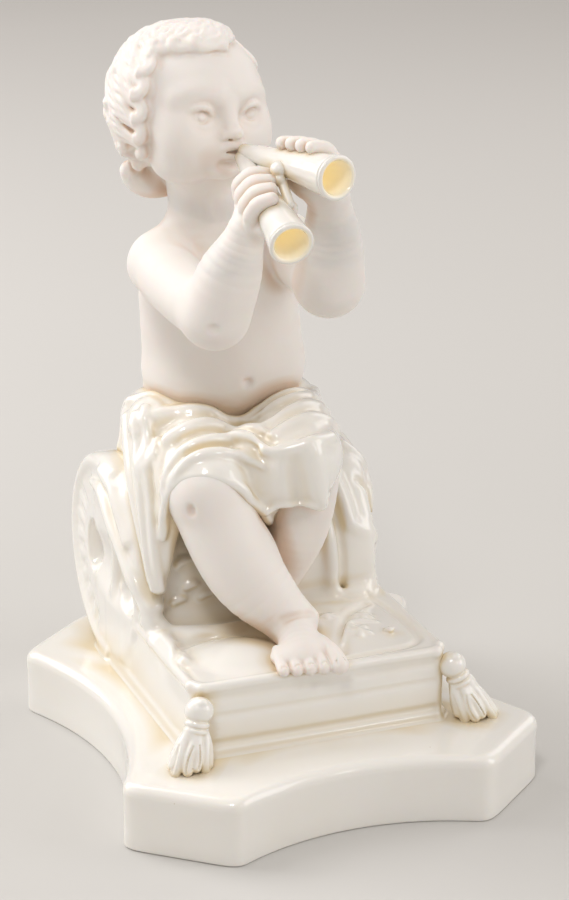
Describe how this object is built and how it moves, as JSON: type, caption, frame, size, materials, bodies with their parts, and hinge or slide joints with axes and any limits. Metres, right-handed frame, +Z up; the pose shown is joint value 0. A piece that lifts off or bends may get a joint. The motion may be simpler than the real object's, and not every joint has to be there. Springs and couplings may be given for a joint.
{
  "type": "minstrel figurine",
  "caption": "Seated child minstrel playing a double pipe on a rolled, tasselled mattress, on a plinth with hollow sides; one porcelain casting.",
  "frame": {"origin": "middle of the plinth's footprint, on the surface it stands on", "axes": "+Z up, -Y towards the front that the child faces, +X towards the child's left hand"},
  "size_m": [0.1284, 0.142, 0.2177],
  "materials": {
    "bisque": "unglazed parian bisque, matt and slightly rosy",
    "glaze": "clear gloss glaze over ivory porcelain, creamier where it pools"
  },
  "bodies": {
    "root": {"figurine": "glaze"}
  },
  "joints": []
}
